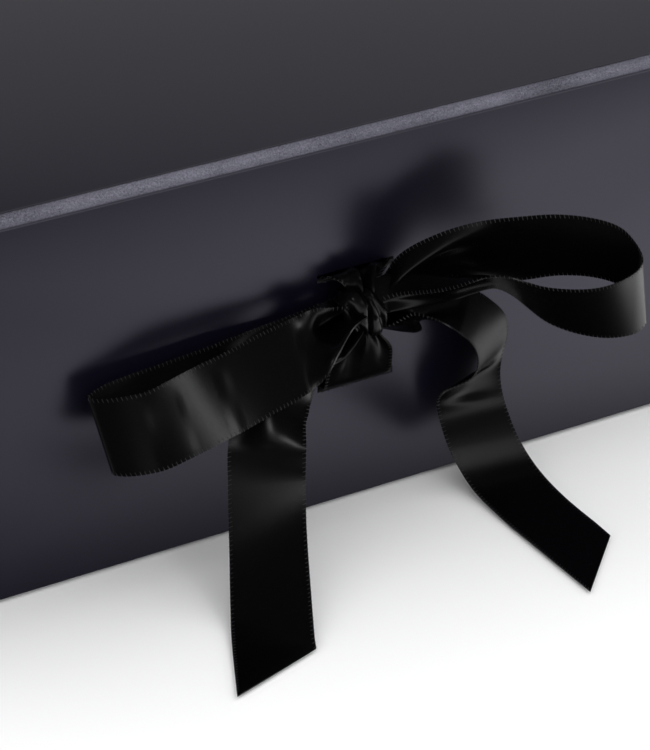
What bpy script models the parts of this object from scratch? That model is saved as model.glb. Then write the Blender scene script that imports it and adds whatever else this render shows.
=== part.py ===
"""Gift box with a hinged lid, a front flap held shut by magnets, and a ribbon tied through the flap.

Frame: metres, +Z up, origin at the centre of the underside, the front flap faces -Y.
The case is four covered boards (base, back, lid, flap) joined by paper hinges, with a tray glued inside.
"""
from math import pi, sqrt

import bmesh
import bpy
from mathutils import Matrix, Vector

MM = 0.001

# Case
BOX_WIDTH = 0.320
BOX_DEPTH = 0.230
BOX_HEIGHT = 0.107
BOARD = 0.0016
PAPER = 0.0002
FIT = 0.0002
TURN_IN = 0.015
LINER_MARGIN = 0.004
PANEL = BOARD + 3 * PAPER + 3 * FIT
HINGE_LEG = 0.0028
FLOOR_GAP = 0.0010

# Tray
TRAY_SIDE_MARGIN = 0.002
TRAY_FRONT_SET_BACK = 0.0038
RIM_GAP = 0.0003
RIM_TURN_IN = 0.020
LINING_DROP = 0.003

# Magnets in the flap and steel discs in the tray
MAGNET_RADIUS = 0.0075
MAGNET_LENGTH = 0.0014
MAGNET_X = 0.095
MAGNET_Z = 0.028

# Ribbon and its slots
RIBBON_WIDTH = 0.020
RIBBON_THICKNESS = 0.0005
SLOT_LENGTH = 0.0228
SLOT_HEIGHT = 0.0024
SLOT_LOW_Z = 0.036
SLOT_HIGH_Z = 0.068
KNOT_LOW = (-0.0090, -0.1270, 0.0535)
KNOT_HIGH = (0.0042, -0.1185, 0.0670)
KNOT_ROUND = 0.0025

FRONT_Y = -BOX_DEPTH / 2
BACK_Y = BOX_DEPTH / 2
HINGE_Z = BOX_HEIGHT - HINGE_LEG / 2
LID_PIVOT = (0.0, BACK_Y - HINGE_LEG / 2, HINGE_Z)
FLAP_PIVOT = (0.0, FRONT_Y + HINGE_LEG / 2, HINGE_Z)

# Ribbon routes. Each row is a point on the centre line and the vector across the ribbon there,
# in millimetres: X, distance in front of the flap, Z.
LEFT_LOOP = [
    ((-9.4, 9.6, 60.4), (0.3, -3.0, 5.0)),
    ((-14.2, 11.6, 58.5), (3.2, -8.2, 9.2)),
    ((-19.5, 13.0, 57.0), (3.8, -12.3, 13.0)),
    ((-26.1, 14.8, 56.4), (3.2, -13.6, 14.5)),
    ((-37.2, 17.2, 55.5), (1.8, -13.3, 15.1)),
    ((-45.6, 18.7, 54.3), (0.3, -12.5, 15.5)),
    ((-54.1, 19.5, 53.0), (-1.5, -11.4, 16.3)),
    ((-61.6, 19.2, 51.0), (-1.0, -10.6, 16.8)),
    ((-68.6, 17.9, 48.8), (-0.3, -10.0, 17.2)),
    ((-77.0, 14.9, 48.0), (-0.9, -10.4, 17.0)),
    ((-80.2, 11.8, 48.0), (-1.0, -10.5, 16.9)),
    ((-74.6, 8.4, 48.2), (-0.3, -8.8, 17.9)),
    ((-59.2, 6.2, 48.7), (0.0, -5.5, 19.2)),
    ((-36.6, 5.5, 50.8), (0.3, -4.5, 18.6)),
    ((-20.2, 5.4, 55.3), (0.8, -3.5, 12.5)),
    ((-9.4, 5.5, 60.3), (0.3, -2.0, 6.0)),
]
RIGHT_LOOP = [
    ((4.6, 5.2, 62.5), (0.0, -0.5, 6.0)),
    ((10.4, 8.5, 68.5), (-5.0, 1.5, 11.0)),
    ((18.8, 13.5, 72.8), (-7.0, 3.5, 16.0)),
    ((27.0, 18.5, 74.6), (-4.5, 2.8, 18.9)),
    ((35.1, 23.0, 75.2), (-2.3, 2.5, 19.7)),
    ((44.0, 28.0, 76.1), (-3.1, 3.5, 19.5)),
    ((54.0, 31.5, 73.9), (-3.6, 3.9, 19.3)),
    ((60.6, 34.0, 70.0), (-3.8, 3.1, 19.4)),
    ((64.2, 37.6, 62.6), (-3.0, 1.2, 19.7)),
    ((59.5, 40.2, 60.8), (-2.7, 2.7, 19.6)),
    ((47.6, 41.0, 61.6), (-4.5, 6.6, 18.3)),
    ((35.3, 37.0, 65.0), (-6.9, 9.5, 16.2)),
    ((24.8, 29.0, 70.8), (-9.6, 12.9, 12.0)),
    ((15.4, 20.0, 67.2), (-7.0, 11.0, 8.0)),
    ((4.6, 9.8, 64.0), (0.0, 3.5, 3.0)),
]
LEFT_TAIL = [
    ((-9.4, 9.6, 52.6), (-2.5, -2.0, 6.0)),
    ((-13.0, 9.9, 51.2), (-5.5, 0.0, 9.0)),
    ((-19.4, 11.3, 50.4), (-9.0, 1.0, 11.0)),
    ((-27.4, 13.4, 49.0), (-12.5, -1.5, 11.0)),
    ((-33.3, 16.0, 44.7), (-16.5, -4.5, 7.5)),
    ((-37.6, 20.2, 37.8), (-18.2, -7.5, 2.0)),
    ((-40.8, 25.2, 29.6), (-18.3, -8.0, -2.2)),
    ((-43.8, 31.0, 17.0), (-18.4, -8.0, -4.2)),
    ((-49.3, 42.0, 6.4), (-18.6, -8.0, -4.5)),
    ((-54.0, 51.5, 2.0), (-18.6, -8.6, -1.5)),
    ((-59.5, 63.2, 0.9), (-26.9, 8.4, 0.0)),
]
RIGHT_TAIL = [
    ((5.2, 8.3, 57.2), (1.2, -3.2, 3.4)),
    ((8.0, 8.8, 59.2), (3.4, -6.0, 1.8)),
    ((11.4, 9.5, 60.8), (5.5, -9.5, 0.8)),
    ((15.8, 10.5, 60.0), (7.4, -13.0, 1.2)),
    ((21.6, 10.5, 57.3), (10.6, -15.0, 1.8)),
    ((27.6, 10.0, 53.2), (13.0, -14.9, 3.0)),
    ((33.1, 9.5, 48.0), (14.5, -13.5, 3.0)),
    ((36.8, 8.5, 42.2), (15.8, -11.6, 3.8)),
    ((37.2, 7.6, 36.6), (16.9, -9.9, 4.0)),
    ((34.9, 6.5, 32.2), (18.6, -7.1, 1.4)),
    ((32.6, 5.5, 28.4), (19.7, -2.0, 0.4)),
    ((32.4, 5.2, 24.0), (19.8, 1.2, -1.0)),
    ((33.6, 5.8, 18.0), (19.8, 2.4, -1.0)),
    ((35.4, 8.8, 9.6), (20.0, 3.0, -0.6)),
    ((36.8, 17.0, 3.2), (20.1, 2.0, 0.6)),
    ((37.0, 30.0, 1.1), (20.2, 0.5, 0.2)),
    ((37.0, 45.0, 0.9), (20.2, 0.0, 0.0)),
    ((37.0, 61.8, 0.9), (19.7, -19.7, 0.0)),
]
LOWER_STRAP = [
    ((0.0, -2.4, 36.0), (20.0, 0.0, 0.0)),
    ((0.0, -1.0, 36.0), (20.0, 0.0, 0.0)),
    ((0.0, 0.6, 36.1), (20.0, 0.0, 0.0)),
    ((-0.5, 2.2, 38.0), (20.0, 0.0, 0.0)),
    ((-1.0, 4.5, 46.0), (18.0, 0.0, 0.0)),
    ((-2.0, 7.0, 53.1), (9.0, 0.0, 0.0)),
]
UPPER_STRAP = [
    ((0.0, -2.4, 68.0), (20.0, 0.0, 0.0)),
    ((0.0, -1.0, 68.0), (20.0, 0.0, 0.0)),
    ((0.0, 0.6, 68.2), (20.0, 0.0, 0.0)),
    ((-0.5, 3.0, 70.0), (19.0, 0.0, 0.0)),
    ((-1.5, 6.0, 70.2), (14.0, 0.0, 0.0)),
    ((-2.2, 7.6, 67.5), (9.0, 0.0, 0.0)),
]


def clear_scene():
    for obj in list(bpy.data.objects):
        bpy.data.objects.remove(obj, do_unlink=True)
    for block in (bpy.data.meshes, bpy.data.materials, bpy.data.collections):
        for item in list(block):
            block.remove(item)


def new_collection(name):
    collection = bpy.data.collections.new(name)
    bpy.context.scene.collection.children.link(collection)
    return collection


def move_to(obj, collection):
    for old in list(obj.users_collection):
        old.objects.unlink(obj)
    collection.objects.link(obj)


def set_material(obj, colour, roughness, metallic=0.0):
    material = bpy.data.materials.new(obj.name)
    material.use_nodes = True
    shader = material.node_tree.nodes["Principled BSDF"]
    shader.inputs["Base Color"].default_value = (*colour, 1.0)
    shader.inputs["Roughness"].default_value = roughness
    shader.inputs["Metallic"].default_value = metallic
    obj.data.materials.append(material)


def add_box(name, low, high, collection):
    """A box between two corners, with its scale applied."""
    size = [b - a for a, b in zip(low, high)]
    centre = [(a + b) / 2 for a, b in zip(low, high)]
    bpy.ops.mesh.primitive_cube_add(size=1.0, location=centre)
    obj = bpy.context.object
    obj.name = name
    obj.data.name = name
    obj.data.transform(Matrix.Diagonal((*size, 1.0)))
    move_to(obj, collection)
    return obj


def add_disc(name, centre, radius, length, collection):
    """A cylinder that lies along Y."""
    bpy.ops.mesh.primitive_cylinder_add(vertices=48, radius=radius, depth=length, location=centre)
    obj = bpy.context.object
    obj.name = name
    obj.data.name = name
    obj.data.transform(Matrix.Rotation(pi / 2, 4, "X"))
    move_to(obj, collection)
    return obj


def hide_cutter(obj):
    obj.hide_render = True
    obj.display_type = "WIRE"
    return obj


def cut(obj, cutter):
    hide_cutter(cutter)
    modifier = obj.modifiers.new("cut_" + cutter.name, "BOOLEAN")
    modifier.operation = "DIFFERENCE"
    modifier.solver = "EXACT"
    modifier.object = cutter


def grow(low, high, amounts):
    """Move each face of a box outwards by its own amount: -X, +X, -Y, +Y, -Z, +Z."""
    new_low = [low[i] - amounts[2 * i] for i in range(3)]
    new_high = [high[i] + amounts[2 * i + 1] for i in range(3)]
    return new_low, new_high


def covered_panel(name, low, high, inner_side, collection, cutters):
    """Board, wrap paper with turned-in edges and liner paper for one panel of the case.

    low and high are the corners of the finished panel. inner_side is its inner face: "-Z", "+Z",
    "-Y" or "+Y". The wrap is open on that face inside its turned-in edges, and the liner covers them.
    """
    axis = {"Y": 1, "Z": 2}[inner_side[1]]
    outer = 2 * axis + (1 if inner_side[0] == "-" else 0)
    inner = 2 * axis + (0 if inner_side[0] == "-" else 1)
    skin = PAPER + FIT

    def inset(each, on_outer, on_inner):
        amounts = [-each] * 6
        amounts[outer] = -on_outer
        amounts[inner] = -on_inner
        return grow(low, high, amounts)

    board = add_box(name + "_board", *inset(skin, skin, 2 * (PAPER + FIT)), collection)
    wrap = add_box(name + "_wrap", *inset(0.0, 0.0, PAPER + FIT), collection)
    core = add_box(name + "_wrap_core", *inset(PAPER, PAPER, 2 * PAPER + FIT), cutters)
    window = add_box(name + "_wrap_window", *inset(TURN_IN, 2 * PAPER, -0.001), cutters)
    cut(wrap, core)
    cut(wrap, window)
    thickness = high[axis] - low[axis]
    liner = add_box(name + "_liner", *inset(LINER_MARGIN, thickness - PAPER, 0.0), collection)
    return board, wrap, liner


def smooth_rows(rows, steps):
    """Points of a smooth curve through the rows, spaced by the distance between them."""
    points = [(Vector(centre), Vector(across)) for centre, across in rows]
    result = []
    last = len(points) - 1
    for i in range(last):
        before = points[max(i - 1, 0)]
        start, end = points[i], points[i + 1]
        after = points[min(i + 2, last)]
        span = max((end[0] - start[0]).length, 1e-6)
        span_before = max((start[0] - before[0]).length, span * 0.2)
        span_after = max((after[0] - end[0]).length, span * 0.2)
        for step in range(steps):
            t = step / steps
            row = []
            for k in (0, 1):
                slope_in = (end[k] - before[k]) / (span + (span_before if i > 0 else 0.0))
                slope_out = (after[k] - start[k]) / (span + (span_after if i + 2 <= last else 0.0))
                row.append(
                    start[k] * (2 * t**3 - 3 * t**2 + 1)
                    + slope_in * span * (t**3 - 2 * t**2 + t)
                    + end[k] * (3 * t**2 - 2 * t**3)
                    + slope_out * span * (t**3 - t**2)
                )
            result.append(tuple(row))
    result.append(points[last])
    return result


def add_ribbon(name, rows, collection, steps=4, columns=2):
    """A loft along the rows, given its thickness by Solidify."""
    mesh = bpy.data.meshes.new(name)
    grid = bmesh.new()
    lines = []
    for centre, across in smooth_rows(rows, steps):
        line = []
        for column in range(columns + 1):
            x, ahead, z = centre + across * (column / columns - 0.5)
            line.append(grid.verts.new((x * MM, FRONT_Y - ahead * MM, z * MM)))
        lines.append(line)
    for first, second in zip(lines, lines[1:]):
        for column in range(columns):
            grid.faces.new((first[column], first[column + 1], second[column + 1], second[column]))
    grid.to_mesh(mesh)
    grid.free()
    obj = bpy.data.objects.new(name, mesh)
    collection.objects.link(obj)
    solidify = obj.modifiers.new("thickness", "SOLIDIFY")
    solidify.thickness = RIBBON_THICKNESS
    solidify.offset = 0.0
    return obj


def put_on(parent, objects):
    """Parent objects without moving them."""
    for obj in objects:
        obj.parent = parent
        obj.matrix_parent_inverse = Matrix.Translation(parent.location).inverted()


def add_pivot(name, location, collection):
    pivot = bpy.data.objects.new(name, None)
    pivot.empty_display_size = 0.02
    pivot.location = location
    collection.objects.link(pivot)
    return pivot


def hinge_strip(name, centre, angle, collection):
    """A flat paper strip along X across a hinge gap."""
    width = HINGE_LEG * sqrt(2) - 2 * FIT
    obj = add_box(
        name,
        (-BOX_WIDTH / 2, -width / 2, -PAPER / 2),
        (BOX_WIDTH / 2, width / 2, PAPER / 2),
        collection,
    )
    obj.data.transform(Matrix.Rotation(angle, 4, "X"))
    obj.location = centre
    return obj


def main():
    clear_scene()
    parts = new_collection("gift_box")
    cutters = new_collection("cutters")
    half = BOX_WIDTH / 2
    top = BOX_HEIGHT - HINGE_LEG

    base = covered_panel(
        "base",
        (-half, FRONT_Y + TRAY_FRONT_SET_BACK, 0.0),
        (half, BACK_Y - HINGE_LEG, PANEL),
        "+Z", parts, cutters,
    )
    back = covered_panel(
        "back",
        (-half, BACK_Y - PANEL, HINGE_LEG),
        (half, BACK_Y, top - 0.0003),
        "-Y", parts, cutters,
    )
    lid = covered_panel(
        "lid",
        (-half, FRONT_Y + HINGE_LEG, BOX_HEIGHT - PANEL),
        (half, BACK_Y - HINGE_LEG, BOX_HEIGHT),
        "-Z", parts, cutters,
    )
    flap = covered_panel(
        "flap",
        (-half, FRONT_Y, FLOOR_GAP),
        (half, FRONT_Y + PANEL, top),
        "+Y", parts, cutters,
    )
    base_centre = (0.0, BACK_Y - HINGE_LEG / 2, HINGE_LEG / 2)
    base_hinge = hinge_strip("hinge_paper_base", base_centre, pi / 4, parts)
    lid_hinge = hinge_strip("hinge_paper_lid", LID_PIVOT, -pi / 4, parts)
    flap_hinge = hinge_strip("hinge_paper_flap", FLAP_PIVOT, pi / 4, parts)

    # Slots for the ribbon, through the flap and its papers
    for slot, z in (("slot_low", SLOT_LOW_Z), ("slot_high", SLOT_HIGH_Z)):
        cutter = add_box(
            slot,
            (-SLOT_LENGTH / 2, FRONT_Y - 0.002, z - SLOT_HEIGHT / 2),
            (SLOT_LENGTH / 2, FRONT_Y + PANEL + 0.002, z + SLOT_HEIGHT / 2),
            cutters,
        )
        for piece in flap:
            cut(piece, cutter)

    # Tray walls: outer paper, board, inner turned paper
    tray_x = half - TRAY_SIDE_MARGIN
    tray_front = FRONT_Y + TRAY_FRONT_SET_BACK
    tray_back = BACK_Y - PANEL - FIT
    tray_low = PANEL + FIT
    tray_high = BOX_HEIGHT - PANEL - RIM_GAP
    skin = PAPER + FIT
    wall = BOARD + 2 * skin
    box_low = (-tray_x, tray_front, tray_low)
    box_high = (tray_x, tray_back, tray_high)
    board_low = tray_low + skin
    board_high = tray_high - skin
    front_wall = add_box(
        "tray_front_board",
        (-tray_x + skin, tray_front + skin, board_low),
        (tray_x - skin, tray_front + skin + BOARD, board_high),
        parts,
    )
    back_wall = add_box(
        "tray_back_board",
        (-tray_x + skin, tray_back - skin - BOARD, board_low),
        (tray_x - skin, tray_back - skin, board_high),
        parts,
    )
    side_low = tray_front + skin + BOARD + FIT
    side_high = tray_back - skin - BOARD - FIT
    left_wall = add_box(
        "tray_left_board",
        (-tray_x + skin, side_low, board_low),
        (-tray_x + skin + BOARD, side_high, board_high),
        parts,
    )
    right_wall = add_box(
        "tray_right_board",
        (tray_x - skin - BOARD, side_low, board_low),
        (tray_x - skin, side_high, board_high),
        parts,
    )
    floor_board = add_box(
        "tray_floor_board",
        (-tray_x + skin + BOARD + FIT, side_low, board_low),
        (tray_x - skin - BOARD - FIT, side_high, board_low + BOARD),
        parts,
    )
    tray_wrap = add_box("tray_wrap", box_low, box_high, parts)
    ring = add_box("tray_wrap_ring", *grow(box_low, box_high, [-PAPER] * 6), cutters)
    turn_in_low, turn_in_high = grow(box_low, box_high, [-(wall - PAPER)] * 4 + [0.0, 0.010])
    turn_in_low[2] = tray_high - RIM_TURN_IN
    cut(ring, add_box("tray_wrap_turn_in", turn_in_low, turn_in_high, cutters))
    mouth = add_box(
        "tray_wrap_mouth",
        *grow(box_low, box_high, [-wall] * 4 + [-0.030, 0.010]),
        cutters,
    )
    foot = add_box(
        "tray_wrap_foot",
        *grow(box_low, box_high, [-TURN_IN] * 4 + [0.010, -0.050]),
        cutters,
    )
    cut(tray_wrap, ring)
    cut(tray_wrap, mouth)
    cut(tray_wrap, foot)
    lining_box = grow(box_low, box_high, [-(wall + FIT)] * 4 + [-(skin + BOARD + FIT), -LINING_DROP])
    lining = add_box("tray_lining", *lining_box, parts)
    lining_core = add_box("tray_lining_core", *grow(*lining_box, [-PAPER] * 5 + [0.010]), cutters)
    cut(lining, lining_core)

    # Magnets in the flap, steel discs opposite them in the tray's front wall
    discs = []
    magnets = []
    for side, sign in (("left", -1), ("right", 1)):
        x = sign * MAGNET_X
        flap_mid = FRONT_Y + skin + BOARD / 2
        wall_mid = tray_front + skin + BOARD / 2
        for mid, piece in ((flap_mid, flap[0]), (wall_mid, front_wall)):
            pocket = add_disc(
                piece.name + "_pocket_" + side, (x, mid, MAGNET_Z), MAGNET_RADIUS + FIT, 0.004, cutters
            )
            cut(piece, pocket)
        magnets.append(add_disc(
            "magnet_" + side, (x, flap_mid, MAGNET_Z), MAGNET_RADIUS, MAGNET_LENGTH, parts
        ))
        discs.append(add_disc(
            "steel_disc_" + side, (x, wall_mid, MAGNET_Z), MAGNET_RADIUS, MAGNET_LENGTH, parts
        ))

    # Ribbon
    inner_y = FRONT_Y + PANEL
    back_strap = add_box(
        "ribbon_back_strap",
        (-RIBBON_WIDTH / 2, inner_y + 0.0001, SLOT_LOW_Z - 0.0002),
        (RIBBON_WIDTH / 2, inner_y + 0.0001 + RIBBON_THICKNESS, SLOT_HIGH_Z + 0.0002),
        parts,
    )
    lower_strap = add_ribbon("ribbon_lower_strap", LOWER_STRAP, parts)
    upper_strap = add_ribbon("ribbon_upper_strap", UPPER_STRAP, parts)
    left_loop = add_ribbon("ribbon_left_loop", LEFT_LOOP, parts)
    right_loop = add_ribbon("ribbon_right_loop", RIGHT_LOOP, parts)
    left_tail = add_ribbon("ribbon_left_tail", LEFT_TAIL, parts)
    right_tail = add_ribbon("ribbon_right_tail", RIGHT_TAIL, parts)
    knot = add_box("ribbon_knot", KNOT_LOW, KNOT_HIGH, parts)
    rounding = knot.modifiers.new("rounding", "BEVEL")
    rounding.width = KNOT_ROUND
    rounding.segments = 3
    ribbon = [back_strap, lower_strap, upper_strap, left_loop, right_loop, left_tail, right_tail, knot]

    dark_paper = (0.045, 0.046, 0.062)
    for piece in (base[1], back[1], lid[1], flap[1], tray_wrap, base_hinge, lid_hinge, flap_hinge):
        set_material(piece, dark_paper, 0.45)
    for piece in (base[2], back[2], lid[2], flap[2], lining):
        set_material(piece, (0.05, 0.051, 0.066), 0.55)
    boards = [base[0], back[0], lid[0], flap[0], front_wall, back_wall, left_wall, right_wall, floor_board]
    for piece in boards:
        set_material(piece, (0.32, 0.30, 0.27), 0.9)
    for piece in magnets:
        set_material(piece, (0.55, 0.55, 0.56), 0.3, 1.0)
    for piece in discs:
        set_material(piece, (0.45, 0.46, 0.48), 0.35, 1.0)
    for piece in ribbon:
        set_material(piece, (0.012, 0.012, 0.014), 0.35)
    for piece in magnets + discs + [left_loop, right_loop, left_tail, right_tail]:
        piece.data.shade_smooth()
        piece.data.set_sharp_from_angle(angle=0.6)

    lid_pivot = add_pivot("lid_pivot", LID_PIVOT, parts)
    flap_pivot = add_pivot("flap_pivot", FLAP_PIVOT, parts)
    bpy.context.view_layer.update()
    put_on(lid_pivot, [lid[0], lid[1], lid[2], lid_hinge])
    put_on(flap_pivot, [flap[0], flap[1], flap[2], flap_hinge] + magnets + ribbon)
    put_on(lid_pivot, [flap_pivot])


main()
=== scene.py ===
"""Looks of the gift box: covered boards, paper hinges, satin ribbon and bow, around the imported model."""
import math

import bmesh
import bpy
import numpy as np
from mathutils import Matrix, Vector

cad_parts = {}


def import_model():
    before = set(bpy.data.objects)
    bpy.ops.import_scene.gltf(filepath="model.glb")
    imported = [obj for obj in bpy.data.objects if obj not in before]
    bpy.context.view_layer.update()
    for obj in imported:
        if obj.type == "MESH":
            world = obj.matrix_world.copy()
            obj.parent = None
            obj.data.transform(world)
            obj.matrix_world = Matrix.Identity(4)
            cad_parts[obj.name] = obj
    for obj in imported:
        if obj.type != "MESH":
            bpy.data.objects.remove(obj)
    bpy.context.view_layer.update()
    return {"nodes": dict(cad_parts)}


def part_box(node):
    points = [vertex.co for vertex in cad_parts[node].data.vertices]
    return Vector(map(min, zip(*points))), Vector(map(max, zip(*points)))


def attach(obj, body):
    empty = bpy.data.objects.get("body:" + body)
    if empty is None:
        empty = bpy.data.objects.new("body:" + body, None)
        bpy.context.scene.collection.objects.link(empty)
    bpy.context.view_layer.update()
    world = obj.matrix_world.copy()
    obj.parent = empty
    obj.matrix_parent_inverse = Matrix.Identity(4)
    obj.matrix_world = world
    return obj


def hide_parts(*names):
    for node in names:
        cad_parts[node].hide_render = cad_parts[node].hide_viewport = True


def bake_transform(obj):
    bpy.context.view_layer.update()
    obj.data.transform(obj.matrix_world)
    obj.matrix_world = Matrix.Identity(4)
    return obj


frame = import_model()

MM = 0.001
PAPER = 0.0002
TURN_IN = 0.015
EDGE_ROUND = 0.00045
HINGE_BEND = 0.00075
RIBBON_WIDTH = 0.020
RIBBON_THICKNESS = 0.00032
RIBBON_COLUMNS = 28
ROW_SPACING = 1.0
FULL_CHORD = 19.9
KNOT_AROUND = 72
KNOT_COLUMNS = 44

LID_LOW, LID_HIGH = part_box("lid_wrap")
FRONT_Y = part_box("flap_wrap")[0][1]
BACK_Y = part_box("back_wrap")[1][1]
TOP_Z = LID_HIGH[2]
HALF_WIDTH = LID_HIGH[0]
HINGE_LEG = LID_LOW[1] - FRONT_Y

SLOT_HEIGHT = 0.0024
SLOT_LENGTH = 0.0228
SLOTS = (("slot_low", 0.036, 11), ("slot_high", 0.068, 12))

# ---------------------------------------------------------------- camera, floor and light
CAMERA_PLACE = (-0.38883, -0.76608, 0.45745)
CAMERA_AZIMUTH = -30.25
CAMERA_ELEVATION = 29.0
CAMERA_LENS = 159.2
# the room that glossy surfaces see: direction Z and level there, then how it grows with direction X
BAND_LEVELS = (
    (-1.0, 0.0), (-0.68, 0.03), (-0.545, 1.0), (-0.32, 1.0), (-0.12, 0.12), (0.1, 0.04), (1.0, 0.04),
)
SIDE_FADE = {"From Min": 0.10, "From Max": 0.62, "To Min": 0.72, "To Max": 1.30}
SKY_FILL = 1.32
SKY_SEEN = 1.0
# name, place, side length, power
SOFTBOXES = (
    ("front_softbox", (0.22, -1.82, 1.38), 0.5, 3.5),
    ("low_softbox", (0.16, -2.0, 0.74), 0.65, 0.55),
    ("rear_softbox", (0.97, 1.66, 1.07), 1.7, 3.0),
)
SOFTBOX_AIM = (0.0, 0.0, 0.04)


def add_camera():
    data = bpy.data.cameras.new("camera")
    data.lens = CAMERA_LENS
    data.sensor_width = 36.0
    data.clip_start = 0.01
    data.clip_end = 50.0
    camera = bpy.data.objects.new("camera", data)
    azimuth, elevation = math.radians(CAMERA_AZIMUTH), math.radians(CAMERA_ELEVATION)
    back = Vector((
        math.sin(azimuth) * math.cos(elevation),
        -math.cos(azimuth) * math.cos(elevation),
        math.sin(elevation),
    ))
    camera.rotation_mode = "QUATERNION"
    camera.rotation_quaternion = (-back).to_track_quat("-Z", "Y")
    camera.location = CAMERA_PLACE
    bpy.context.scene.collection.objects.link(camera)
    bpy.context.scene.camera = camera


def add_softbox(name, place, side, power):
    data = bpy.data.lights.new(name, "AREA")
    data.shape = "RECTANGLE"
    data.size = data.size_y = side
    data.energy = power
    light = bpy.data.objects.new(name, data)
    light.location = place
    light.rotation_mode = "QUATERNION"
    light.rotation_quaternion = (Vector(SOFTBOX_AIM) - Vector(place)).to_track_quat("-Z", "Y")
    bpy.context.scene.collection.objects.link(light)


def add_world():
    """White surroundings for matt surfaces; glossy ones see a dark room with a pale band below level."""
    world = bpy.data.worlds.new("studio")
    world.use_nodes = True
    world.cycles.sampling_method = "NONE"
    nodes, links = world.node_tree.nodes, world.node_tree.links
    nodes.clear()
    out = nodes.new("ShaderNodeOutputWorld")
    path = nodes.new("ShaderNodeLightPath")
    direction = nodes.new("ShaderNodeTexCoord")
    split = nodes.new("ShaderNodeSeparateXYZ")
    links.new(direction.outputs["Generated"], split.inputs[0])
    band = nodes.new("ShaderNodeValToRGB")
    height = nodes.new("ShaderNodeMapRange")
    height.inputs["From Min"].default_value = -1.0
    height.inputs["From Max"].default_value = 1.0
    links.new(split.outputs["Z"], height.inputs["Value"])
    links.new(height.outputs[0], band.inputs[0])
    set_levels(band.color_ramp, [((z + 1) / 2, level) for z, level in BAND_LEVELS])
    mirrored = nodes.new("ShaderNodeBackground")
    links.new(band.outputs["Color"], mirrored.inputs["Color"])
    fade = nodes.new("ShaderNodeMapRange")
    for name, value in SIDE_FADE.items():
        fade.inputs[name].default_value = value
    links.new(split.outputs["X"], fade.inputs["Value"])
    links.new(fade.outputs[0], mirrored.inputs["Strength"])
    last = mirrored
    for strength, ray in ((SKY_FILL, "Is Diffuse Ray"), (SKY_SEEN, "Is Camera Ray")):
        sky = nodes.new("ShaderNodeBackground")
        sky.inputs["Color"].default_value = (1.0, 1.0, 1.0, 1.0)
        sky.inputs["Strength"].default_value = strength
        mix = nodes.new("ShaderNodeMixShader")
        links.new(path.outputs[ray], mix.inputs[0])
        links.new(last.outputs[0], mix.inputs[1])
        links.new(sky.outputs[0], mix.inputs[2])
        last = mix
    links.new(last.outputs[0], out.inputs[0])
    bpy.context.scene.world = world


def add_floor():
    bpy.ops.mesh.primitive_plane_add(size=6.0, location=(0.0, 0.0, -0.0001))
    floor = bpy.context.object
    floor.name = "floor"
    material, shader, nodes, links = new_material("floor_paper", 0.8)
    shader.inputs["Base Color"].default_value = (0.90, 0.90, 0.905, 1.0)
    shader.inputs["Specular IOR Level"].default_value = 0.1
    floor.data.materials.append(material)
    floor.visible_glossy = False


# ---------------------------------------------------------------- materials
GRAIN_SHARE = 0.7
PEARL_TINT = (0.84, 0.81, 1.0, 1.0)
# how far the painted highlight (the strip's bright base colour) shows across a creased strip, from one
# long edge to the other; elsewhere the darker edge colour shows
PAINTED_HIGHLIGHT_LEVELS = ((0.13, 0.0), (0.27, 0.75), (0.5, 1.0), (0.72, 0.75), (0.86, 0.0))
# warp floats per ribbon width, and along it; weft bands per ribbon width
WARP_SCALE = (320.0, 9.0, 1.0)
WEFT_SCALE = 55.0


def new_material(name, roughness):
    material = bpy.data.materials.new(name)
    material.use_nodes = True
    nodes, links = material.node_tree.nodes, material.node_tree.links
    shader = nodes["Principled BSDF"]
    shader.inputs["Roughness"].default_value = roughness
    return material, shader, nodes, links


def set_levels(color_ramp, levels):
    """Grey stops of a ramp, from (position, level) pairs."""
    while len(color_ramp.elements) < len(levels):
        color_ramp.elements.new(0.5)
    for element, (at, level) in zip(color_ramp.elements, levels):
        element.position = at
        element.color = (level, level, level, 1.0)


def noise_texture(nodes, links, vector, scale, detail, rough):
    texture = nodes.new("ShaderNodeTexNoise")
    texture.inputs["Scale"].default_value = scale
    texture.inputs["Detail"].default_value = detail
    texture.inputs["Roughness"].default_value = rough
    links.new(vector, texture.inputs["Vector"])
    return texture


def ramp(nodes, links, value, colour_low, colour_high, low=0.3, high=0.7):
    made = nodes.new("ShaderNodeValToRGB")
    made.color_ramp.elements[0].position = low
    made.color_ramp.elements[1].position = high
    made.color_ramp.elements[0].color = (*colour_low, 1.0)
    made.color_ramp.elements[1].color = (*colour_high, 1.0)
    links.new(value, made.inputs[0])
    return made


def bump(nodes, links, height, strength, distance, under=None):
    made = nodes.new("ShaderNodeBump")
    made.inputs["Strength"].default_value = strength
    made.inputs["Distance"].default_value = distance
    links.new(height, made.inputs["Height"])
    if under is not None:
        links.new(under.outputs["Normal"], made.inputs["Normal"])
    return made


def between(nodes, links, value, low, high):
    """A value from 0 to 1 stretched to the range from low to high."""
    made = nodes.new("ShaderNodeMapRange")
    made.inputs["To Min"].default_value = low
    made.inputs["To Max"].default_value = high
    links.new(value, made.inputs["Value"])
    return made.outputs[0]


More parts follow.
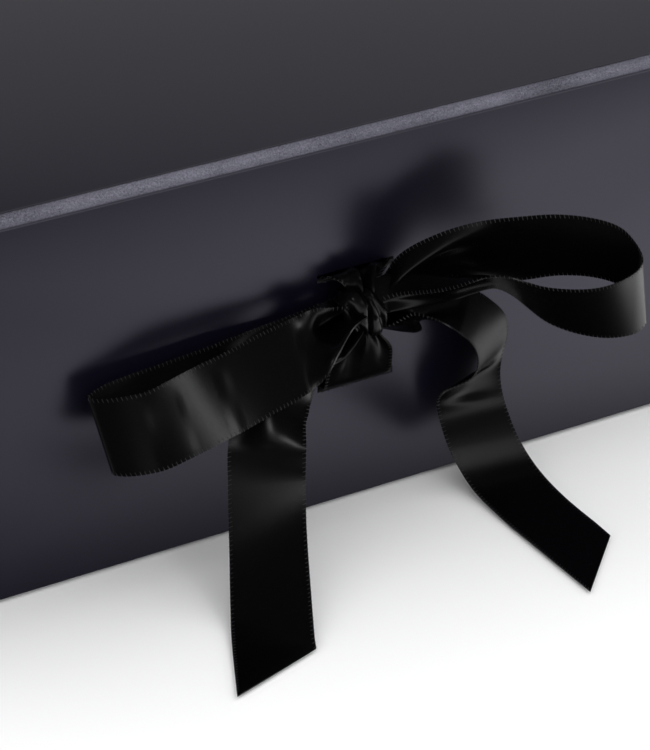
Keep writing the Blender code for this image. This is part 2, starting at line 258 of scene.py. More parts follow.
def pearl_paper(name, colour, roughness, gloss, tooth, fleck_and_painted_glint=0.1, edge=None):
    """Pearlescent wrap: nearly black base with a violet-tinted gloss over a fine tooth.

    With an edge colour it is a creased strip, which keeps that colour along its two long edges; its base
    colour is then a painted highlight across the middle of the strip.
    """
    material, shader, nodes, links = new_material(name, roughness)
    place = nodes.new("ShaderNodeTexCoord").outputs["Object"]
    cloud = noise_texture(nodes, links, place, scale=60.0, detail=3.0, rough=0.55)
    grain = noise_texture(nodes, links, place, scale=2400.0, detail=3.0, rough=0.7)
    both = nodes.new("ShaderNodeMath")
    both.operation = "MULTIPLY_ADD"
    both.inputs[1].default_value = GRAIN_SHARE
    links.new(grain.outputs["Fac"], both.inputs[0])
    shade = nodes.new("ShaderNodeMath")
    shade.operation = "MULTIPLY"
    shade.inputs[1].default_value = 1.0 - GRAIN_SHARE
    links.new(cloud.outputs["Fac"], shade.inputs[0])
    links.new(shade.outputs[0], both.inputs[2])
    # fleck sets how far the grain varies the colour: random tone, and where it is large, painted glints in
    # the grain
    darker, lighter = (tuple(c * (1 + change) for c in colour) for change in (-fleck_and_painted_glint, fleck_and_painted_glint))
    base = ramp(nodes, links, both.outputs[0], darker, lighter, low=0.35, high=0.65)
    links.new(base.outputs["Color"], shader.inputs["Base Color"])
    if edge is not None:
        uv = nodes.new("ShaderNodeUVMap")
        uv.uv_map = "across"
        parts = nodes.new("ShaderNodeSeparateXYZ")
        links.new(uv.outputs[0], parts.inputs[0])
        # creased strip: painted highlight in the middle, fading to the edge colour along both long edges
        painted_highlight = nodes.new("ShaderNodeValToRGB")
        set_levels(painted_highlight.color_ramp, PAINTED_HIGHLIGHT_LEVELS)
        links.new(parts.outputs["Y"], painted_highlight.inputs[0])
        mix = nodes.new("ShaderNodeMix")
        mix.data_type = "RGBA"
        links.new(painted_highlight.outputs["Color"], mix.inputs[0])
        mix.inputs[6].default_value = (*edge, 1.0)
        links.new(base.outputs["Color"], mix.inputs[7])
        links.new(mix.outputs[2], shader.inputs["Base Color"])
    rough = between(nodes, links, grain.outputs["Fac"], roughness - 0.03, roughness + 0.03)
    links.new(rough, shader.inputs["Roughness"])
    shader.inputs["Specular IOR Level"].default_value = gloss
    shader.inputs["Specular Tint"].default_value = PEARL_TINT
    fine = bump(nodes, links, grain.outputs["Fac"], strength=tooth, distance=0.00005)
    wide = noise_texture(nodes, links, place, scale=30.0, detail=1.0, rough=0.4)
    broad = bump(nodes, links, wide.outputs["Fac"], strength=0.1, distance=0.0004, under=fine)
    links.new(broad.outputs["Normal"], shader.inputs["Normal"])
    return material


def plain_paper(name, colour, roughness):
    """Uncoated liner: short fibres and a soft tooth."""
    material, shader, nodes, links = new_material(name, roughness)
    place = nodes.new("ShaderNodeTexCoord").outputs["Object"]
    fibre = noise_texture(nodes, links, place, scale=900.0, detail=4.0, rough=0.65)
    darker, lighter = (tuple(c * share for c in colour) for share in (0.8, 1.2))
    base = ramp(nodes, links, fibre.outputs["Fac"], darker, lighter)
    links.new(base.outputs["Color"], shader.inputs["Base Color"])
    tooth = bump(nodes, links, fibre.outputs["Fac"], strength=0.4, distance=0.00005)
    links.new(tooth.outputs["Normal"], shader.inputs["Normal"])
    return material


def metal(name, colour, roughness):
    """Plated metal, very finely scratched."""
    material, shader, nodes, links = new_material(name, roughness)
    place = nodes.new("ShaderNodeTexCoord").outputs["Object"]
    scratch = noise_texture(nodes, links, place, scale=1500.0, detail=3.0, rough=0.6)
    base = ramp(nodes, links, scratch.outputs["Fac"], tuple(c * 0.9 for c in colour), colour)
    links.new(base.outputs["Color"], shader.inputs["Base Color"])
    shader.inputs["Metallic"].default_value = 1.0
    fine = bump(nodes, links, scratch.outputs["Fac"], strength=0.2, distance=0.00002)
    links.new(fine.outputs["Normal"], shader.inputs["Normal"])
    return material


def satin(name):
    """Black satin: long warp floats along the ribbon, crossed by a faint weft."""
    material, shader, nodes, links = new_material(name, 0.3)
    uv = nodes.new("ShaderNodeUVMap")
    uv.uv_map = "ribbon"
    stretch = nodes.new("ShaderNodeMapping")
    stretch.inputs["Scale"].default_value = WARP_SCALE
    links.new(uv.outputs[0], stretch.inputs["Vector"])
    warp = noise_texture(nodes, links, stretch.outputs[0], scale=1.0, detail=3.0, rough=0.6)
    weft = nodes.new("ShaderNodeTexWave")
    weft.bands_direction = "Y"
    weft.inputs["Scale"].default_value = WEFT_SCALE
    links.new(uv.outputs[0], weft.inputs["Vector"])
    base = ramp(nodes, links, warp.outputs["Fac"], (0.0006, 0.0006, 0.0009), (0.0014, 0.0013, 0.0017))
    links.new(base.outputs["Color"], shader.inputs["Base Color"])
    shader.inputs["Specular IOR Level"].default_value = 0.41
    lines = bump(nodes, links, warp.outputs["Fac"], strength=0.22, distance=0.00004)
    cross = bump(nodes, links, weft.outputs["Fac"], strength=0.06, distance=0.00002, under=lines)
    links.new(cross.outputs["Normal"], shader.inputs["Normal"])
    links.new(between(nodes, links, warp.outputs["Fac"], 0.22, 0.30), shader.inputs["Roughness"])
    return material


def thread(name):
    """Selvedge thread, a little paler than the satin."""
    material, shader, nodes, links = new_material(name, 0.38)
    place = nodes.new("ShaderNodeTexCoord").outputs["Object"]
    twist = noise_texture(nodes, links, place, scale=4000.0, detail=2.0, rough=0.5)
    base = ramp(nodes, links, twist.outputs["Fac"], (0.012, 0.012, 0.014), (0.035, 0.035, 0.04))
    links.new(base.outputs["Color"], shader.inputs["Base Color"])
    shader.inputs["Specular IOR Level"].default_value = 0.8
    return material


# ---------------------------------------------------------------- mesh helpers
def link_mesh(name, mesh, material):
    made = bpy.data.objects.new(name, mesh)
    bpy.context.scene.collection.objects.link(made)
    if material is not None:
        mesh.materials.clear()
        mesh.materials.append(material)
    return made


def box_object(name, low, high):
    mesh = bpy.data.meshes.new(name)
    form = bmesh.new()
    bmesh.ops.create_cube(form, size=1.0)
    size = Vector(high) - Vector(low)
    centre = (Vector(high) + Vector(low)) / 2
    form.transform(Matrix.Translation(centre) @ Matrix.Diagonal((*size, 1.0)))
    form.to_mesh(mesh)
    form.free()
    return link_mesh(name, mesh, None)


def flatten(obj):
    """Apply every modifier."""
    graph = bpy.context.evaluated_depsgraph_get()
    mesh = bpy.data.meshes.new_from_object(obj.evaluated_get(graph))
    obj.modifiers.clear()
    obj.data = mesh
    return obj


def carve(obj, cutters):
    for cutter in cutters:
        modifier = obj.modifiers.new(cutter.name, "BOOLEAN")
        modifier.operation = "DIFFERENCE"
        modifier.solver = "EXACT"
        modifier.object = cutter
    flatten(obj)
    for cutter in cutters:
        bpy.data.objects.remove(cutter, do_unlink=True)
    return obj


def soften(obj, angle=0.7):
    """Smooth shading, with edges sharper than this many radians kept sharp."""
    obj.data.shade_smooth()
    obj.data.set_sharp_from_angle(angle=angle)


def rounded(obj, width, segments=3):
    modifier = obj.modifiers.new("round", "BEVEL")
    modifier.width = width
    modifier.segments = segments
    return flatten(obj)


def grown(low, high, amounts):
    """A box moved out by amounts for -X, +X, -Y, +Y, -Z, +Z."""
    new_low = [low[i] - amounts[2 * i] for i in range(3)]
    new_high = [high[i] + amounts[2 * i + 1] for i in range(3)]
    return new_low, new_high


def cover(name, source, inner_side, body, material, extra=()):
    """The wrap of one panel: a thin rounded shell round the board, turned in 15 mm on its inner face."""
    low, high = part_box(source)
    axis = {"Y": 1, "Z": 2}[inner_side[1]]
    outer = 2 * axis + (1 if inner_side[0] == "-" else 0)
    inner = 2 * axis + (0 if inner_side[0] == "-" else 1)

    def inset(each, on_outer, on_inner):
        amounts = [-each] * 6
        amounts[outer] = -on_outer
        amounts[inner] = -on_inner
        return grown(low, high, amounts)

    shell = rounded(box_object(name, low, high), EDGE_ROUND)
    core = box_object(name + "_core", *inset(PAPER, PAPER, PAPER))
    window = box_object(name + "_window", *inset(TURN_IN, 2 * PAPER, -0.001))
    carve(shell, [core, window, *extra])
    shell.data.materials.clear()
    shell.data.materials.append(material)
    soften(shell)
    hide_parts(source)
    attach(shell, body)
    return shell


def ragged_cutter(name, centre_z, seed):
    """A slot cutter whose long edges wander like paper cut through from behind."""
    random = np.random.default_rng(seed)
    count = 64
    xs = np.linspace(-SLOT_LENGTH / 2, SLOT_LENGTH / 2, count)
    rough_low = np.clip(random.normal(0.0, 0.00016, count), -0.0004, 0.0002)
    rough_high = random.normal(0.0, 0.00007, count)
    outline = [(x, centre_z - SLOT_HEIGHT / 2 + d) for x, d in zip(xs, rough_low)]
    outline += [(x, centre_z + SLOT_HEIGHT / 2 + d) for x, d in zip(xs[::-1], rough_high)]
    form = bmesh.new()
    front = [form.verts.new((x, FRONT_Y - 0.001, z)) for x, z in outline]
    face = form.faces.new(front)
    ret = bmesh.ops.extrude_face_region(form, geom=[face])
    moved = [v for v in ret["geom"] if isinstance(v, bmesh.types.BMVert)]
    bmesh.ops.translate(form, verts=moved, vec=(0.0, 0.006, 0.0))
    bmesh.ops.recalc_face_normals(form, faces=form.faces)
    mesh = bpy.data.meshes.new(name)
    form.to_mesh(mesh)
    form.free()
    return link_mesh(name, mesh, None)


def extrude_profile(name, outer, inner, half_length, columns, material, waver, seed):
    """A thin strip along X between an outer and an inner line of (y, z) points.

    waver is how far its middle drifts in and out, smoothly and at random, along its length.
    """
    random = np.random.default_rng(seed)
    xs = np.linspace(-half_length, half_length, columns + 1)
    count = len(outer)
    window = 7
    drift = np.convolve(random.normal(0.0, 1.0, columns + window), np.ones(window) / window, "valid")
    form = bmesh.new()
    rings = []
    middle = (count - 1) / 2
    for x, wander in zip(xs, drift):
        ring = []
        for i, (y, z) in list(enumerate(outer)) + list(enumerate(inner))[::-1]:
            share = max(0.0, 1.0 - (abs(i - middle) / middle) ** 2)
            shift = waver * wander * share * 0.7
            ring.append(form.verts.new((x, y + shift, z - shift)))
        rings.append(ring)
    total = 2 * count
    layer = form.loops.layers.uv.new("across")
    place = [i / (count - 1) for i in range(count)]
    place += place[::-1]
    for x_a, x_b, a, b in zip(xs, xs[1:], rings, rings[1:]):
        for i in range(total):
            j = (i + 1) % total
            face = form.faces.new((a[i], a[j], b[j], b[i]))
            corners = ((x_a, place[i]), (x_a, place[j]), (x_b, place[j]), (x_b, place[i]))
            for loop, at in zip(face.loops, corners):
                loop[layer].uv = at
    for ring in (rings[0], rings[-1]):
        for i in range(count - 1):
            form.faces.new((ring[i], ring[i + 1], ring[total - 2 - i], ring[total - 1 - i]))
    bmesh.ops.recalc_face_normals(form, faces=form.faces)
    mesh = bpy.data.meshes.new(name)
    form.to_mesh(mesh)
    form.free()
    made = link_mesh(name, mesh, material)
    soften(made, 1.2)
    return made


def hinge_lines(corner, leg, side, up):
    """Outer and inner lines of the paper over a hinge gap, from the upright panel to the flat one.

    corner is where the two outer faces would meet, leg the gap along each face. side is -1 at the
    front and 1 at the back, up is 1 at the top and -1 at the bottom.
    """
    proud, skin, sag, foot = 0.00002, 0.00017, 0.00012, 0.00001
    outer, inner = [], []
    # from the upright panel's end, curving into the slope
    half = math.tan(math.radians(22.5)) * HINGE_BEND
    lead = [(0.0, leg + 0.0006), (0.0, leg + half)]
    for k in range(1, 5):
        a = math.radians(45.0 * k / 4)
        lead.append((HINGE_BEND * (1 - math.cos(a)), leg + half - HINGE_BEND * math.sin(a)))
    # the slope itself, sagging a little between its ends
    start_in, start_down = lead[-1]
    slope = []
    for k in range(1, 10):
        t = k / 10
        dip = sag * math.sin(math.pi * t) * 0.7071
        slope.append((
            start_in + (start_down - start_in) * t + dip,
            start_down + (start_in - start_down) * t + dip,
        ))
    full = lead + slope + [(z, x) for x, z in reversed(lead)]
    for i, (a, b) in enumerate(full):
        before, after = full[max(i - 1, 0)], full[min(i + 1, len(full) - 1)]
        tangent = Vector((after[0] - before[0], after[1] - before[1])).normalized()
        normal = Vector((-tangent[1], tangent[0]))
        if normal[0] + normal[1] < 0:
            normal = -normal
        depth = foot if i in (0, len(full) - 1) else skin
        outer.append((a - proud * normal[0], b - proud * normal[1]))
        inner.append((a + depth * normal[0], b + depth * normal[1]))

    def world(points):
        return [(corner[0] - side * a, corner[1] - up * b) for a, b in points]

    return world(outer), world(inner)


# ---------------------------------------------------------------- ribbon
def smooth_rows(rows, steps):
    """Cubic curves through the rows' centres and across-vectors, this many steps from row to row."""
    points = [(Vector(centre), Vector(across)) for centre, across in rows]
    result = []
    last = len(points) - 1
    for i in range(last):
        before = points[max(i - 1, 0)]
        start, end = points[i], points[i + 1]
        after = points[min(i + 2, last)]
        span = max((end[0] - start[0]).length, 1e-6)
        span_before = max((start[0] - before[0]).length, span * 0.2)
        span_after = max((after[0] - end[0]).length, span * 0.2)
        for step in range(steps):
            t = step / steps
            row = []
            for k in (0, 1):
                slope_in = (end[k] - before[k]) / (span + (span_before if i > 0 else 0.0))
                slope_out = (after[k] - start[k]) / (span + (span_after if i + 2 <= last else 0.0))
                row.append(
                    start[k] * (2 * t**3 - 3 * t**2 + 1)
                    + slope_in * span * (t**3 - 2 * t**2 + t)
                    + end[k] * (3 * t**2 - 2 * t**3)
                    + slope_out * span * (t**3 - t**2)
                )
            result.append(row)
    result.append([points[last][0].copy(), points[last][1].copy()])
    return result


def ribbon_grid(rows, fold):
    """Points of the ribbon's surface in millimetres: X, distance in front of the flap, Z."""
    fine = smooth_rows(rows, 24)
    centres = np.array([c[:] for c, _ in fine])
    acrosses = np.array([a[:] for _, a in fine])
    run = np.r_[0.0, np.cumsum(np.linalg.norm(np.diff(centres, axis=0), axis=1))]
    length = run[-1]
    count = max(6, int(length / ROW_SPACING))
    along = np.linspace(0.0, length, count + 1)
    centre = np.stack([np.interp(along, run, centres[:, k]) for k in range(3)], 1)
    across = np.stack([np.interp(along, run, acrosses[:, k]) for k in range(3)], 1)
    tangent = np.gradient(centre, axis=0)
    normal = np.cross(tangent, across)
    normal /= np.linalg.norm(normal, axis=1, keepdims=True)
    u = np.linspace(-0.5, 0.5, RIBBON_COLUMNS + 1)
    grid = np.empty((count + 1, RIBBON_COLUMNS + 1, 3))
    for i, s in enumerate(along):
        chord = np.linalg.norm(across[i])
        shape, extra = fold(u, s, length)
        lift = shape * gather(chord, shape, u) + extra
        grid[i] = centre[i] + np.outer(u, across[i]) + np.outer(lift, normal[i])
    return grid, along, length


def gather(chord, shape, u):
    """How high folds of this shape must stand for the whole width to fit across a narrower chord."""
    if chord >= FULL_CHORD:
        return 0.0
    low, high = 0.0, FULL_CHORD
    for _ in range(30):
        middle = (low + high) / 2
        lengths = np.hypot(np.diff(u * chord), np.diff(shape * middle))
        if lengths.sum() < FULL_CHORD:
            low = middle
        else:
            high = middle
    return high


def to_world(point):
    """Metres, from millimetres of X, distance in front of the flap, Z."""
    return (point[0] * MM, FRONT_Y - point[1] * MM, point[2] * MM)


def ribbon_piece(name, rows, source, fold):
    """One stretch of ribbon along its rows, with its selvedge threads, in place of a plain solid."""
    grid, along, length = ribbon_grid(rows, fold)
    form = bmesh.new()
    layer = form.loops.layers.uv.new("ribbon")
    verts = [[form.verts.new(to_world(p)) for p in line] for line in grid]
    for i in range(len(verts) - 1):
        for j in range(RIBBON_COLUMNS):
            face = form.faces.new((verts[i][j], verts[i][j + 1], verts[i + 1][j + 1], verts[i + 1][j]))
            for loop, (di, dj) in zip(face.loops, ((0, 0), (0, 1), (1, 1), (1, 0))):
                loop[layer].uv = ((j + dj) / RIBBON_COLUMNS, along[i + di] * MM / RIBBON_WIDTH)
    mesh = bpy.data.meshes.new(name)
    form.to_mesh(mesh)
    form.free()
    made = link_mesh(name, mesh, SATIN)
    thicken(made, 0.0)
    soften(made, 1.0)
    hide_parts(source)
    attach(made, "flap")
    pieces = [edge_stitches(name + "_stitches", grid)]


def thicken(obj, offset):
    """Give a ribbon surface its thickness: offset 0 is to both sides, -1 to the inside."""
    solid = obj.modifiers.new("thickness", "SOLIDIFY")
    solid.thickness = RIBBON_THICKNESS
    solid.offset = offset
    flatten(obj)


def edge_stitches(name, grid, pitch=1.18, reach=0.95, thick=0.16):
    """Selvedge thread: short loops over each long edge, square to it. Sizes are in millimetres."""
    form = bmesh.new()
    for edge, inward in ((0, 1), (-1, -1)):
        line = grid[:, edge]
        inner_line = grid[:, 1] if inward == 1 else grid[:, -2]
        run = np.r_[0.0, np.cumsum(np.linalg.norm(np.diff(line, axis=0), axis=1))]
        for s in np.arange(pitch * 0.6, run[-1] - pitch * 0.4, pitch):
            point = np.array([np.interp(s, run, line[:, k]) for k in range(3)])
            inside = np.array([np.interp(s, run, inner_line[:, k]) for k in range(3)])
            ahead = np.array([np.interp(s + 0.3, run, line[:, k]) for k in range(3)]) - point
            cross = inside - point
            if np.linalg.norm(cross) < 1e-6 or np.linalg.norm(ahead) < 1e-6:
                continue
            cross /= np.linalg.norm(cross)
            ahead /= np.linalg.norm(ahead)
            normal = np.cross(ahead, cross)
            normal /= np.linalg.norm(normal)
            slant = ahead * 0.22
            half = RIBBON_THICKNESS / MM / 2 + thick * 0.28
            spine = [
                point + cross * reach + normal * half * 0.8 + slant,
                point + cross * 0.5 * reach + normal * half + slant * 0.5,
                point + cross * 0.02 + normal * half * 0.8,
                point - cross * thick * 0.5,
                point + cross * 0.02 - normal * half * 0.8,
                point + cross * 0.5 * reach - normal * half - slant * 0.5,
                point + cross * reach - normal * half * 0.8 - slant,
            ]
            tube(form, spine, ahead, thick / 2)
    mesh = bpy.data.meshes.new(name)
    form.to_mesh(mesh)
    form.free()
    made = link_mesh(name, mesh, THREAD)
    soften(made, 1.5)
    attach(made, "flap")
    return made


def tube(form, spine, side, radius):
    """A closed four-sided thread along a short spine; side is a direction square to all of it."""
    side = np.asarray(side)
    rings = []
    for i, point in enumerate(spine):
        direction = spine[min(i + 1, len(spine) - 1)] - spine[max(i - 1, 0)]
        other = np.cross(side, direction)
        other /= max(np.linalg.norm(other), 1e-9)
        shrink = 0.45 if i in (0, len(spine) - 1) else 1.0
        rings.append([
            form.verts.new(to_world(point + radius * shrink * (a * side + b * other)))
            for a, b in ((1, 0), (0, 1), (-1, 0), (0, -1))
        ])
    for a, b in zip(rings, rings[1:]):
        for i in range(4):
            j = (i + 1) % 4
            form.faces.new((a[j], a[i], b[i], b[j]))
    form.faces.new(rings[0])
    form.faces.new(rings[-1][::-1])


def wave(*terms):
    """Pleats across the ribbon: a sum of (height, waves, phase), the same shape all along."""
    def fold(u, s, length):
        shape = sum(height * np.sin(2 * math.pi * (waves * u + phase)) for height, waves, phase in terms)
        return shape, 0.0 * u
    return fold


def rolled(u, s, length):
    """The left loop by the knot: a ridge, then a hollow, with the lower edge rolled forward."""
    shape = np.sin(2 * math.pi * (u + 0.6)) + 0.15 * np.sin(2 * math.pi * (2.3 * u + 0.3))
    ridge = 2.0 * np.exp(-((s - 15.0 - 4.0 * u) / 4.0) ** 2)
    hollow = 1.5 * math.exp(-((s - 8.0) / 3.0) ** 2) * np.exp(-((u + 0.05) / 0.3) ** 2)
    return shape, ridge - hollow


def pulled(u, s, length):
    """A strap pulled flat against the liner, barely rippled."""
    slanted = 0.05 * np.sin(2 * math.pi * (1.3 * u + s / 23.0))
    return 0.0 * u, slanted + 0.04 * math.sin(2 * math.pi * s / 9.0)


# routes of the ribbon: a centre, and the vector from one edge to the other, in millimetres of X,
# distance in front of the flap, Z
LEFT_LOOP = [
    ((-5.0, 8.8, 61.0), (0.3, -2.5, 4.0)),
    ((-9.4, 9.6, 60.4), (0.3, -3.0, 5.0)),
    ((-14.2, 11.6, 58.5), (3.2, -8.2, 9.2)),
    ((-19.5, 13.0, 57.0), (3.8, -12.3, 13.0)),
    ((-26.1, 14.8, 56.4), (3.2, -13.6, 14.5)),
    ((-37.2, 17.2, 55.5), (1.8, -13.3, 15.1)),
    ((-45.6, 18.7, 54.3), (0.3, -12.5, 15.5)),
    ((-54.1, 19.5, 53.0), (-1.5, -11.4, 16.3)),
    ((-61.6, 19.2, 51.0), (-1.0, -10.6, 16.8)),
    ((-68.6, 17.9, 48.8), (-0.3, -10.0, 17.2)),
    ((-77.0, 14.9, 48.0), (-0.9, -10.4, 17.0)),
    ((-80.2, 11.8, 48.0), (-1.0, -10.5, 16.9)),
    ((-74.6, 8.4, 48.2), (-0.3, -8.8, 17.9)),
    ((-59.2, 6.2, 48.7), (0.0, -5.5, 19.2)),
    ((-36.6, 5.5, 50.8), (0.3, -4.5, 18.6)),
    ((-20.2, 5.4, 55.3), (0.8, -3.5, 12.5)),
    ((-9.4, 5.5, 60.3), (0.3, -2.0, 6.0)),
    ((-5.0, 5.5, 60.5), (0.3, -2.0, 5.0)),
]
RIGHT_LOOP = [
    ((0.5, 5.5, 61.5), (0.0, -0.5, 5.0)),
    ((4.6, 5.2, 62.5), (0.0, -0.5, 6.0)),
    ((10.4, 8.5, 68.5), (-5.0, 1.5, 11.0)),
    ((18.8, 13.5, 72.8), (-7.0, 3.5, 16.0)),
    ((27.0, 18.5, 74.6), (-4.5, 2.8, 18.9)),
    ((35.1, 23.0, 75.2), (-2.3, 2.5, 19.7)),
    ((44.0, 28.0, 76.1), (-3.1, 3.5, 19.5)),
    ((54.0, 31.5, 73.9), (-3.6, 3.9, 19.3)),
    ((60.6, 34.0, 70.0), (-3.8, 3.1, 19.4)),
    ((64.2, 37.6, 62.6), (-3.0, 1.2, 19.7)),
    ((59.5, 40.2, 60.8), (-2.7, 2.7, 19.6)),
    ((47.6, 41.0, 61.6), (-4.5, 6.6, 18.3)),
    ((35.3, 37.0, 65.0), (-6.9, 9.5, 16.2)),
    ((24.8, 29.0, 70.8), (-9.6, 12.9, 12.0)),
    ((15.4, 20.0, 67.2), (-7.0, 11.0, 8.0)),
    ((4.6, 9.8, 64.0), (0.0, 3.5, 3.0)),
    ((0.5, 8.8, 63.0), (0.0, 3.0, 3.0)),
]
LEFT_TAIL = [
    ((-5.5, 8.0, 55.0), (-1.0, -2.0, 4.5)),
    ((-9.4, 9.6, 52.6), (-2.5, -2.0, 6.0)),
    ((-13.0, 9.9, 51.2), (-5.5, 0.0, 9.0)),
    ((-19.4, 11.3, 50.4), (-9.0, 1.0, 11.0)),
    ((-27.4, 13.4, 49.0), (-14.0, -2.0, 12.0)),
    ((-32.5, 15.4, 45.4), (-16.6, -3.6, 10.4)),
    ((-37.6, 20.2, 37.8), (-18.2, -7.5, 2.0)),
    ((-39.9, 23.7, 28.6), (-19.0, -6.0, 0.8)),
    ((-43.8, 31.0, 17.0), (-18.9, -6.2, -3.0)),
    ((-49.3, 42.0, 6.4), (-18.6, -8.0, -4.5)),
    ((-54.0, 51.5, 2.0), (-18.6, -8.6, -1.5)),
    ((-59.5, 63.2, 0.9), (-26.9, 8.4, 0.0)),
]
RIGHT_TAIL = [
    ((1.0, 7.5, 57.0), (1.0, -2.0, 2.6)),
    ((4.6, 8.3, 57.2), (1.6, -3.0, 3.3)),
    ((8.0, 8.8, 59.2), (3.4, -6.0, 1.8)),
    ((11.4, 9.5, 60.8), (5.5, -9.5, 0.8)),
    ((15.8, 10.5, 60.0), (7.4, -13.0, 1.2)),
    ((21.6, 10.5, 57.3), (10.6, -15.0, 1.8)),
    ((27.6, 10.0, 53.2), (13.0, -14.9, 3.0)),
    ((33.1, 9.5, 48.0), (14.5, -13.5, 3.0)),
    ((36.8, 8.5, 42.2), (15.8, -11.6, 3.8)),
    ((37.2, 7.6, 36.6), (16.9, -9.9, 4.0)),
    ((34.9, 6.5, 32.2), (18.6, -7.1, 1.4)),
    ((32.6, 5.5, 28.4), (19.7, -2.0, 0.4)),
    ((32.4, 5.2, 24.0), (19.8, 1.2, -1.0)),
    ((33.5, 5.9, 18.1), (19.8, 2.4, -1.0)),
    ((34.9, 9.7, 10.2), (20.0, 3.0, -0.6)),
    ((36.8, 17.0, 3.2), (20.1, 2.0, 0.6)),
    ((37.0, 30.0, 1.1), (20.2, 0.5, 0.2)),
    ((37.0, 45.0, 0.9), (20.2, 0.0, 0.0)),
    ((37.0, 61.8, 0.9), (19.7, -19.7, 0.0)),
]
BACK_STRAP = [
    ((0.0, -3.1, 35.9), (19.9, 0.0, 0.0)),
    ((0.05, -3.12, 46.0), (20.0, 0.0, 0.0)),
    ((-0.05, -3.12, 57.0), (20.0, 0.0, 0.0)),
    ((0.0, -3.1, 68.1), (19.9, 0.0, 0.0)),
]
LOWER_STRAP = [
    ((0.0, -2.4, 36.0), (20.0, 0.0, 0.0)),
    ((0.0, -1.0, 36.0), (20.0, 0.0, 0.0)),
    ((0.0, 0.6, 36.1), (20.0, 0.0, 0.0)),
    ((-0.5, 2.2, 38.0), (20.0, 0.0, 0.0)),
    ((-1.0, 4.5, 46.0), (18.0, 0.0, 0.0)),
    ((-2.0, 7.0, 53.1), (9.0, 0.0, 0.0)),
    ((-2.2, 7.4, 56.0), (7.0, 0.0, 0.0)),
]
UPPER_STRAP = [
    ((0.0, -2.4, 68.0), (20.0, 0.0, 0.0)),
    ((0.0, -1.0, 68.0), (20.0, 0.0, 0.0)),
    ((0.0, 0.6, 68.2), (20.0, 0.0, 0.0)),
    ((-0.5, 3.0, 70.0), (19.0, 0.0, 0.0)),
    ((-1.5, 6.0, 70.2), (14.0, 0.0, 0.0)),
    ((-2.2, 7.6, 67.5), (9.0, 0.0, 0.0)),
    ((-2.3, 7.4, 64.5), (8.0, 0.0, 0.0)),
]


def add_knot():
    """A pleated turn of ribbon drawn tight round the middle of the bow."""
    low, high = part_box("ribbon_knot")
    centre_x = (low[0] + high[0]) / 2 / MM
    centre_f = (FRONT_Y - (low[1] + high[1]) / 2) / MM
    centre_z = (low[2] + high[2]) / 2 / MM
    half_f, half_z = (high[1] - low[1]) / 2 / MM, (high[2] - low[2]) / 2 / MM
    u = np.linspace(-0.5, 0.5, KNOT_COLUMNS + 1)
    grid = np.empty((KNOT_AROUND + 1, KNOT_COLUMNS + 1, 3))
    for i in range(KNOT_AROUND + 1):
        a = 2 * math.pi * i / KNOT_AROUND
        front, top = math.cos(a), math.sin(a)
        # a rounded rectangle, narrower where it dives behind the bow
        reach_f = half_f * math.copysign(abs(front) ** 0.72, front)
        reach_z = half_z * math.copysign(abs(top) ** 0.80, top)
        width = 13.0 - 2.6 * abs(top) - 1.4 * (front < 0) * abs(front)
        lean = -2.2 * top - 0.8
        # three pleats, each a depth, a place across the band and a width
        deep = 1.9 + 0.5 * np.cos(2 * a + 0.6)
        slip = 0.10 * top
        pleat = 0.0
        for depth, place, spread in (
            (deep, 0.02 + slip, 0.055),
            (1.5, -0.30 - slip, 0.06),
            (0.8, 0.33 - 0.12 * math.sin(a + 0.8), 0.05),
        ):
            pleat = pleat + depth * np.exp(-((u - place) / spread) ** 2)
        crown = 0.9 * (1 - (2 * u) ** 4) - pleat
        rim = -1.6 * np.abs(2 * u) ** 6
        ripple = 0.30 * np.sin(2.6 * a + 7 * u) * abs(front) + 0.18 * np.sin(5 * a - 11 * u)
        out = crown + rim + ripple
        length = math.hypot(reach_f / half_f, reach_z / half_z)
        nf, nz = reach_f / half_f / length, reach_z / half_z / length
        grid[i, :, 0] = centre_x + 0.2 + lean + u * width + 0.25 * np.sin(2 * a + 1.0)
        grid[i, :, 1] = centre_f + reach_f + (out - 0.5) * nf
        grid[i, :, 2] = centre_z + reach_z + (out - 0.5) * nz
    grid[-1] = grid[0]
    form = bmesh.new()
    layer = form.loops.layers.uv.new("ribbon")
    verts = [[form.verts.new(to_world(p)) for p in line] for line in grid[:-1]]
    turn = 2 * math.pi * 5.5
    for i in range(KNOT_AROUND):
        j = (i + 1) % KNOT_AROUND
        for k in range(KNOT_COLUMNS):
            face = form.faces.new((verts[i][k], verts[i][k + 1], verts[j][k + 1], verts[j][k]))
            for loop, (di, dk) in zip(face.loops, ((0, 0), (0, 1), (1, 1), (1, 0))):
                loop[layer].uv = ((k + dk) / KNOT_COLUMNS, (i + di) / KNOT_AROUND * turn / 20.0)
    mesh = bpy.data.meshes.new("ribbon_knot_band")
    form.to_mesh(mesh)
    form.free()
    made = link_mesh("ribbon_knot_band", mesh, SATIN)
    thicken(made, -1.0)
    soften(made, 1.2)
    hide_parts("ribbon_knot")
    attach(made, "flap")


# ---------------------------------------------------------------- build
add_world()
add_camera()
add_floor()
for softbox in SOFTBOXES:
    add_softbox(*softbox)

PEARL = pearl_paper("pearl_paper", (0.003, 0.0025, 0.008), roughness=0.29, gloss=0.74, tooth=0.24)
# hinge strips: the same pearl paper, with a much brighter base colour and much stronger flecks, a painted
# highlight and painted glints where the crease faces the light
CREASED_PAINTED_HIGHLIGHT = pearl_paper("pearl_paper_creased_painted_highlight", (0.105, 0.105, 0.130), roughness=0.42, gloss=0.9, tooth=0.8,
                      fleck_and_painted_glint=0.65, edge=(0.012, 0.011, 0.017))
LINER = plain_paper("liner_paper", (0.028, 0.028, 0.034), roughness=0.62)
BOARD = plain_paper("grey_board", (0.05, 0.05, 0.055), roughness=0.9)
MAGNET = metal("magnet_metal", (0.55, 0.55, 0.56), roughness=0.28)
STEEL = metal("steel", (0.45, 0.46, 0.48), roughness=0.34)
SATIN = satin("satin")
THREAD = thread("selvedge_thread")

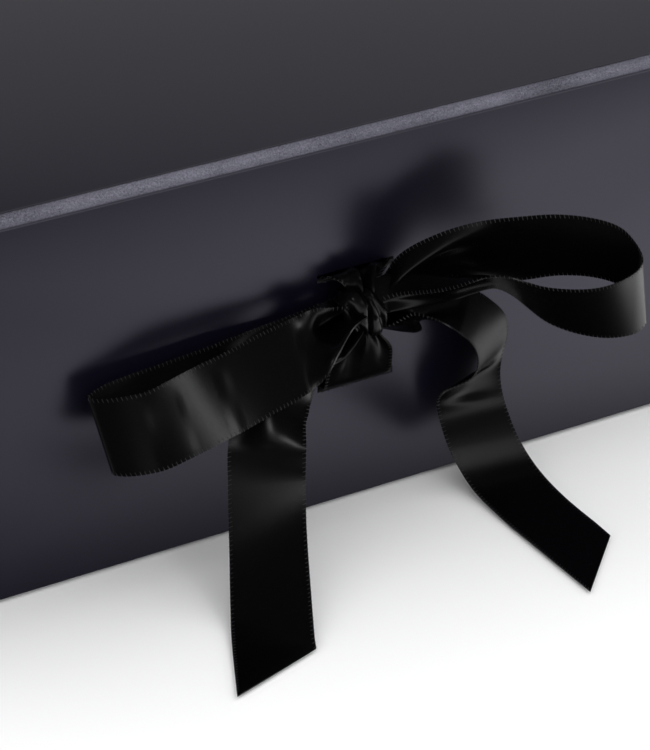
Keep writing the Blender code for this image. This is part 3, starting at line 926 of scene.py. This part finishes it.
cover("lid_cover", "lid_wrap", "-Z", "lid", PEARL)
cover("flap_cover", "flap_wrap", "+Y", "flap", PEARL, [ragged_cutter(*slot) for slot in SLOTS])
cover("back_cover", "back_wrap", "-Y", "tray", PEARL)
cover("base_cover", "base_wrap", "+Z", "tray", PEARL)

for name, source, corner, side, up in (
    ("flap_hinge_cover", "hinge_paper_flap", (FRONT_Y, TOP_Z), -1, 1),
    ("lid_hinge_cover", "hinge_paper_lid", (BACK_Y, TOP_Z), 1, 1),
    ("base_hinge_cover", "hinge_paper_base", (BACK_Y, 0.0), 1, -1),
):
    outer, inner = hinge_lines(corner, HINGE_LEG, side, up)
    strip = extrude_profile(name, outer, inner, HALF_WIDTH - 0.0001, columns=120, material=CREASED_PAINTED_HIGHLIGHT,
                            waver=0.00006, seed=len(name))
    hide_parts(source)
    if up < 0:
        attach(strip, "tray")
        continue
    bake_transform(strip)

for names, material in (
    (("tray_wrap",), PEARL),
    (("lid_liner", "flap_liner", "back_liner", "base_liner", "tray_lining"), LINER),
    (("base_board", "back_board", "lid_board", "flap_board", "tray_front_board", "tray_back_board",
      "tray_left_board", "tray_right_board", "tray_floor_board"), BOARD),
    (("magnet_left", "magnet_right"), MAGNET),
    (("steel_disc_left", "steel_disc_right"), STEEL),
):
    for name in names:
        for material_slot in frame["nodes"][name].material_slots:
            material_slot.material = material

ribbon_piece("left_loop", LEFT_LOOP, "ribbon_left_loop", rolled)
ribbon_piece("right_loop", RIGHT_LOOP, "ribbon_right_loop",
             wave((1.0, 1.0, 0.5), (0.35, 2.1, 0.1)))
ribbon_piece("left_tail", LEFT_TAIL, "ribbon_left_tail",
             wave((1.0, 1.0, 0.3), (0.2, 2.2, 0.1)))
ribbon_piece("right_tail", RIGHT_TAIL, "ribbon_right_tail",
             wave((1.0, 0.5, 0.25), (0.1, 2.0, 0.2)))
ribbon_piece("back_strap", BACK_STRAP, "ribbon_back_strap", pulled)
ribbon_piece("lower_strap", LOWER_STRAP, "ribbon_lower_strap",
             wave((1.0, 2.1, 0.1), (0.5, 3.3, 0.4)))
ribbon_piece("upper_strap", UPPER_STRAP, "ribbon_upper_strap",
             wave((1.0, 2.4, 0.2), (0.5, 3.6, 0.1)))
add_knot()

bpy.context.scene.view_settings.view_transform = "Standard"
